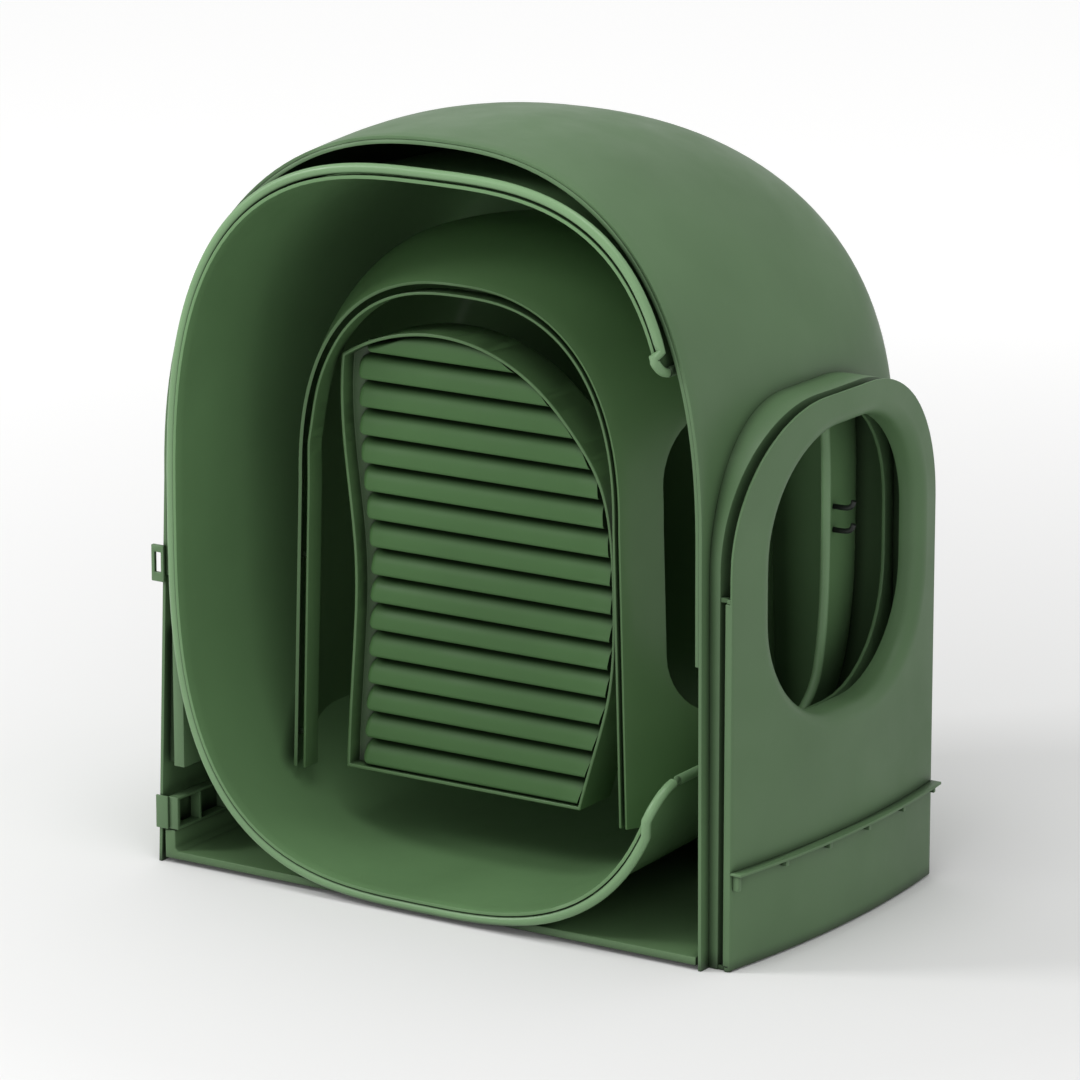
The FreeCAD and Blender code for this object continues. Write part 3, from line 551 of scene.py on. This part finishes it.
def make_hook(name, level):
    line = [at(x, HOOK_Y, level + lift) for x, lift in HOOK_LINE]
    hook = tube(name, line, HOOK_WIRE, HOOK_WIRE)
    finish_piece(hook, "rear_shell", hook_black, ["bucket_hooks"])


make_rear_hood()
make_rear_rim()
make_hook("hook_lower", 652)
make_hook("hook_upper", 694)

# ------------------------------------------------------------------ feed panel
PANEL_RADIUS, PANEL_MIDDLE = 2212, 404
PANEL_FRONT, PANEL_BACK, PANEL_FOOT, PANEL_TOP, PANEL_CORNER = 20, 683, 2, 960, 262
PANEL_OUTER, PANEL_SKIN = 613, 5
PANEL_AXIS = PANEL_OUTER - math.sqrt(PANEL_RADIUS ** 2 - (PANEL_MIDDLE - PANEL_FRONT) ** 2)
RIM_INSET, ROLL, ROLL_STEPS = 22, 26.0, 6
RAYS, RINGS = 144, 14
STILE_X, STILE_Y, STILE_Z = (599, 613), (20, 36), (9, 648)


def bow(y, inset=0.0):
    """X of the panel's outer face at depth y."""
    return PANEL_AXIS + math.sqrt((PANEL_RADIUS - inset) ** 2 - (y - PANEL_MIDDLE) ** 2)


def reach(outline, angle):
    """Distance from the window's centre to a closed (y, z) outline along a ray."""
    dy, dz = math.cos(angle), math.sin(angle)
    best = 0.0
    for (y0, z0), (y1, z1) in zip(outline, outline[1:] + outline[:1]):
        ey, ez = y1 - y0, z1 - z0
        det = dy * ez - dz * ey
        if abs(det) < 1e-9:
            continue
        wy, wz = y0 - WINDOW_Y, z0 - WINDOW_Z
        t = (wy * ez - wz * ey) / det
        u = (wy * dz - wz * dy) / det
        if t > 0 and -1e-6 <= u <= 1 + 1e-6:
            best = max(best, t)
    return best


def make_panel():
    """The bowed sheet, from its outline to the window, where it rolls inwards."""
    shoulder = PANEL_TOP - PANEL_CORNER
    outline = [(PANEL_BACK, PANEL_FOOT)]
    outline += arc(PANEL_BACK - PANEL_CORNER, shoulder, PANEL_CORNER, 0, 90, 16)
    outline += arc(PANEL_FRONT + PANEL_CORNER, shoulder, PANEL_CORNER, 90, 180, 16)
    outline += [(PANEL_FRONT, PANEL_FOOT)]
    window = window_outline(steps=16)
    angles = {2 * math.pi * k / RAYS for k in range(RAYS)}
    for y in (PANEL_FRONT, PANEL_BACK):
        angles.add(math.atan2(PANEL_FOOT - WINDOW_Z, y - WINDOW_Y) % (2 * math.pi))
    rays = [(a, reach(outline, a), reach(window, a)) for a in sorted(angles)]

    def ring(distance, x_of):
        line = []
        for angle, far, near in rays:
            d = distance(far, near)
            y = WINDOW_Y + d * math.cos(angle)
            line.append(at(x_of(y), y, WINDOW_Z + d * math.sin(angle)))
        return line

    rows = []
    for k in range(RINGS + 1):
        rows.append(ring(lambda far, near: far + (near + ROLL - far) * k / RINGS, bow))
    for k in range(1, ROLL_STEPS + 1):
        bend = k / ROLL_STEPS * math.pi / 2
        rows.append(ring(lambda far, near: near + ROLL - ROLL * math.sin(bend),
                         lambda y: bow(y, ROLL * (1 - math.cos(bend)))))
    inner = PANEL_OUTER - RIM_INSET
    for share in (0.5, 1.0):
        rows.append(ring(lambda far, near: near,
                         lambda y: bow(y, ROLL) + (inner - bow(y, ROLL)) * share))
    panel = new_object("feed_panel_skin", *grid(rows, True))
    face_towards(panel, at(642, 300, 250), Vector((1, 0, 0)))
    thicken(panel, PANEL_SKIN)
    soften(panel, 1.6, angle=50)
    finish_piece(panel, "panel", panel_green, ["feed_panel", "window_rim"], 40)


def make_stile():
    corners = [at(x, y, z) for x in STILE_X for y in STILE_Y for z in STILE_Z]
    stile = new_object("hinge_stile", corners, [(0, 1, 3, 2), (4, 6, 7, 5), (0, 4, 5, 1),
                                                (2, 3, 7, 6), (0, 2, 6, 4), (1, 5, 7, 3)])
    soften(stile, 2.5, 3)
    finish_piece(stile, "panel", panel_green)


make_panel()
make_stile()

# ------------------------------------------------------------------ inner hood
INNER_MIDDLE, INNER_FRONT, INNER_DEPTH, INNER_WALL = -30, 150, 480, 6
INNER_HALF, INNER_CROWN, INNER_SPLAY, INNER_POWER = 338, 1100, 22, 2.4
INNER_FOOT, INNER_SPRING = 172, 700
SWELL_X, SWELL_Z, CURVE_X, CURVE_Z = 67, 78, 110, 140
INNER_ROWS, INNER_COLUMNS, INNER_LEGS = 32, 64, 8
OVAL = (232, 470, 352, 884, 118)     # Y from and to, Z from and to, corner radius
OVAL_X = (100, 700)


def make_inner_hood():
    legs = [INNER_FOOT + (INNER_SPRING - INNER_FOOT) * k / INNER_LEGS for k in range(INNER_LEGS)]
    rows = []
    for r in range(INNER_ROWS + 1):
        t = to_back(r, INNER_ROWS)
        y = INNER_FRONT + INNER_DEPTH * t
        grown, lost = swell(t, 0.45), 1 - fade(t, 4)
        half = INNER_HALF + SWELL_X * grown - CURVE_X * lost
        crown = INNER_CROWN + SWELL_Z * grown - CURVE_Z * lost
        feet = [(half + INNER_SPLAY * (1 - z / INNER_SPRING), z) for z in legs]
        line = [at(INNER_MIDDLE + x, y, z) for x, z in feet]
        for c in range(INNER_COLUMNS + 1):
            angle = math.pi * c / INNER_COLUMNS
            z = INNER_SPRING + (crown - INNER_SPRING) * math.sin(angle) ** (2 / INNER_POWER)
            line.append(at(INNER_MIDDLE + half * rounded(math.cos(angle), INNER_POWER), y, z))
        line += [at(INNER_MIDDLE - x, y, z) for x, z in reversed(feet)]
        rows.append(line)
    hood = shell("inner_hood_shell", rows, False, INNER_WALL, at(INNER_MIDDLE, 300, 1170))
    cut(hood, prism_x(rounded_box(*OVAL), *OVAL_X))
    soften(hood, 1.8, 3, 50)
    finish_piece(hood, "inner_shell", inner_shaded_green, ["inner_hood"])


make_inner_hood()

# ------------------------------------------------------------------ slats
# The slatted panel's left and right edges, as (height, x).
TRAY_LEFT_EDGE = ((181, -286), (381, -273), (567, -266), (782, -289), (940, -290),
                  (981, -200), (998, -80))
TRAY_RIGHT_EDGE = ((181, 211), (317, 252), (393, 272), (539, 283), (645, 279), (783, 249),
                   (856, 198), (925, 127), (980, 24), (998, -70))
SLAT_COUNT, SLAT_PITCH, SLAT_START, SLAT_HEIGHT = 16, 50.5, 190, 46.5
SLAT_LIP, SLAT_ROOT, SLAT_LEFT_GAP, SLAT_RIGHT_GAP, SLAT_ROUND = 177.0, 205.0, 24, 11, 20
ROUND_COLUMNS, STRAIGHT_COLUMNS = 6, 9


def edge_x(edge, z):
    """Where an edge of the slatted panel lies at height z."""
    for (z0, x0), (z1, x1) in zip(edge, edge[1:]):
        if z <= z1:
            return x0 + (x1 - x0) * max(0.0, (z - z0) / (z1 - z0))
    return edge[-1][1]


def slat_profile():
    """(y, share of height) round one louvre: overhanging lip, then a full face going back."""
    points = [(SLAT_ROOT, 0.0), (SLAT_LIP + 6, 0.0), (SLAT_LIP + 2, 0.03), (SLAT_LIP, 0.1),
              (SLAT_LIP + 0.4, 0.17)]
    for k in range(1, 9):
        u = k / 8
        points.append((SLAT_LIP + 0.4 + (SLAT_ROOT - 1 - SLAT_LIP) * (0.35 * u + 0.65 * u ** 4),
                       0.17 + 0.83 * u))
    return points + [(SLAT_ROOT + 1.5, 1.0)]


def slat_rows(foot, profile):
    """Sections of one slat from its rounded left end to its right end."""
    rows = []
    for c in range(ROUND_COLUMNS + STRAIGHT_COLUMNS + 1):
        line = []
        for y, share in profile:
            z = foot + share * SLAT_HEIGHT
            left = edge_x(TRAY_LEFT_EDGE, z) + SLAT_LEFT_GAP
            right = edge_x(TRAY_RIGHT_EDGE, z) - SLAT_RIGHT_GAP
            if c <= ROUND_COLUMNS:
                d = c / ROUND_COLUMNS * SLAT_ROUND
            else:
                straight = (c - ROUND_COLUMNS) / STRAIGHT_COLUMNS
                d = SLAT_ROUND + (right - left - SLAT_ROUND) * straight
            full = math.sqrt(max(0.0, 1 - (1 - min(1.0, (d + 0.4) / SLAT_ROUND)) ** 2))
            line.append(at(left + d, SLAT_ROOT + (y - SLAT_ROOT) * full,
                           foot + SLAT_HEIGHT * (0.5 + (share - 0.5) * full)))
        rows.append(line)
    return rows


def make_slats():
    profile = slat_profile()
    verts, faces = [], []
    for index in range(SLAT_COUNT):
        rows = slat_rows(SLAT_START + SLAT_PITCH * index, profile)
        points, quads = grid(rows, True)
        quads += ends(len(rows), len(profile))
        faces += [tuple(i + len(verts) for i in face) for face in quads]
        verts += points
    slats = face_outwards(new_object("slat_louvres", verts, faces))
    finish_piece(slats, "floor_panel", slat_shaded_green, ["slats"], 50)


make_slats()

# ------------------------------------------------------------------ studio
FLOOR_HALF, FLOOR_DROP = 14.0, -0.0005
FLOOR_NEAR_GLOW, FLOOR_FAR_GLOW = 0.02, 0.42
FLOOR_COLOUR = (0.76, 0.76, 0.757, 1.0)


def make_floor():
    """A pale floor that glows more with distance, so that it runs out into white."""
    corners = [(x * FLOOR_HALF, y * FLOOR_HALF, FLOOR_DROP)
               for x, y in ((-1, -1), (1, -1), (1, 1), (-1, 1))]
    floor = new_object("floor", corners, [(0, 1, 2, 3)])
    material = bpy.data.materials.new("floor_paint")
    material.use_nodes = True
    tree = material.node_tree
    shader = tree.nodes["Principled BSDF"]
    socket(shader, "Base Color", FLOOR_COLOUR)
    socket(shader, "Roughness", 0.9)
    socket(shader, "Emission Color", (1.0, 1.0, 1.0, 1.0))
    place = tree.nodes.new("ShaderNodeTexCoord")
    far = tree.nodes.new("ShaderNodeVectorMath")
    far.operation = "LENGTH"
    tree.links.new(place.outputs["Object"], far.inputs[0])
    glow = tree.nodes.new("ShaderNodeMapRange")
    socket(glow, "From Min", 1.2)
    socket(glow, "From Max", 5.0)
    socket(glow, "To Min", FLOOR_NEAR_GLOW)
    socket(glow, "To Max", FLOOR_FAR_GLOW)
    tree.links.new(far.outputs["Value"], glow.inputs["Value"])
    tree.links.new(glow.outputs["Result"], shader.inputs["Emission Strength"])
    floor.data.materials.append(material)


def point_at(obj, place, direction):
    obj.location = place
    obj.rotation_mode = "QUATERNION"
    obj.rotation_quaternion = direction.to_track_quat("-Z", "Y")
    bpy.context.scene.collection.objects.link(obj)


def lamp(name, place, target, side, power):
    light = bpy.data.lights.new(name, "AREA")
    light.shape = "SQUARE"
    light.size = side
    light.energy = power
    point_at(bpy.data.objects.new(name, light), place, Vector(target) - Vector(place))


make_floor()
lamp("key_light", (-4.2, -3.4, 3.8), (0, 0, 0.6), 1.4, 150)
lamp("top_light", (0.6, -1.4, 5.2), (0, 0, 0.6), 2.2, 85)
lamp("front_light", (1.6, -7.0, 1.6), (0, 0, 0.5), 3.0, 50)
world = bpy.data.worlds.new("studio")
world.use_nodes = True
socket(world.node_tree.nodes["Background"], "Color", (1.0, 1.0, 1.0, 1.0))
socket(world.node_tree.nodes["Background"], "Strength", 0.68)
bpy.context.scene.world = world
bpy.context.scene.view_settings.view_transform = "Standard"

CAMERA_PLACE = at(5642.9, -8283.0, 3280.9)
CAMERA_TARGET = at(241.86, 0.0, 713.18)
camera_data = bpy.data.cameras.new("camera")
camera_data.lens = 200.08
camera_data.sensor_width = 36.0
camera_data.clip_end = 100.0
camera = bpy.data.objects.new("camera", camera_data)
point_at(camera, CAMERA_PLACE, CAMERA_TARGET - CAMERA_PLACE)
bpy.context.scene.camera = camera
